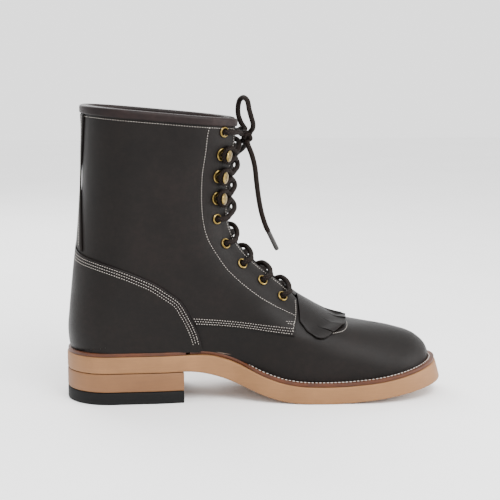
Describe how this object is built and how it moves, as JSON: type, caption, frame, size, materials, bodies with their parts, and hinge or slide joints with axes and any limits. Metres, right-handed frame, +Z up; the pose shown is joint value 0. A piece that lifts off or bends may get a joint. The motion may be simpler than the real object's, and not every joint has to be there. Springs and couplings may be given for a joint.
{
  "type": "lace-up packer boot",
  "caption": "Left leather packer boot, shaft above the ankle, laced through eyelets and speed hooks, with a fringed kiltie flap, welted leather sole and stacked heel.",
  "frame": {"origin": "middle of the boot's footprint on the ground, measured without the hanging parts of the lace", "axes": "+X towards the toe, +Y towards the outer (lateral) side, +Z up the shaft"},
  "size_m": [0.3114, 0.1086, 0.2485],
  "materials": {
    "upper_leather": "oiled, semi-gloss, fine grain",
    "collar_leather": "soft garment leather, satin",
    "lining_leather": "unfinished, matt",
    "stiffener_board": "fibre board, matt",
    "sole_leather": "smooth natural, satin",
    "heel_leather": "stacked, edge dressed, satin",
    "lift_rubber": "matt",
    "insole_leather": "natural, matt",
    "cork": "ground cork, matt",
    "shank_steel": "rolled, plain",
    "welt_leather": "dressed edge, satin",
    "hardware_brass": "antiqued, satin",
    "lace_cord": "round braided cord, matt",
    "aglet_film": "shrunk film, glossy"
  },
  "bodies": {
    "boot": {"quarter_medial": "upper_leather", "quarter_lateral": "upper_leather", "heel_foxing": "upper_leather", "backstay": "upper_leather", "vamp": "upper_leather", "tongue": "upper_leather", "kiltie_root": "upper_leather", "collar_binding": "collar_leather", "facing_stay_medial": "lining_leather", "facing_stay_lateral": "lining_leather", "quarter_lining_medial": "lining_leather", "quarter_lining_lateral": "lining_leather", "heel_lining": "lining_leather", "vamp_lining": "lining_leather", "heel_stiffener": "stiffener_board", "toe_puff": "stiffener_board", "outsole": "sole_leather", "heel_block": "heel_leather", "top_lift": "lift_rubber", "insole": "insole_leather", "footbed": "insole_leather", "cork_filler": "cork", "shank": "shank_steel", "welt": "welt_leather", "heel_rand": "welt_leather", "eyelet_medial_1": "hardware_brass", "eyelet_medial_5": "hardware_brass", "eyelet_medial_6": "hardware_brass", "eyelet_medial_7": "hardware_brass", "eyelet_medial_8": "hardware_brass", "eyelet_medial_9": "hardware_brass", "eyelet_lateral_1": "hardware_brass", "eyelet_lateral_5": "hardware_brass", "eyelet_lateral_6": "hardware_brass", "eyelet_lateral_7": "hardware_brass", "eyelet_lateral_8": "hardware_brass", "eyelet_lateral_9": "hardware_brass", "hook_medial_2": "hardware_brass", "hook_medial_3": "hardware_brass", "hook_medial_4": "hardware_brass", "hook_lateral_2": "hardware_brass", "hook_lateral_3": "hardware_brass", "hook_lateral_4": "hardware_brass", "lace_from_medial_side": "lace_cord", "lace_from_lateral_side": "lace_cord", "lace_knot": "lace_cord", "bow_loop_upright": "lace_cord", "bow_loop_lateral": "lace_cord", "lace_end_medial": "lace_cord", "lace_end_lateral": "lace_cord", "aglet_medial": "aglet_film", "aglet_lateral": "aglet_film"},
    "kiltie": {"kiltie_flap": "upper_leather"}
  },
  "joints": [
    {"name": "kiltie_lift", "type": "hinge", "parent": "boot", "child": "kiltie", "pos_m": [0.0335, 0, 0.0852], "axis": [0, -1, 0], "range_deg": [0, 60]}
  ]
}
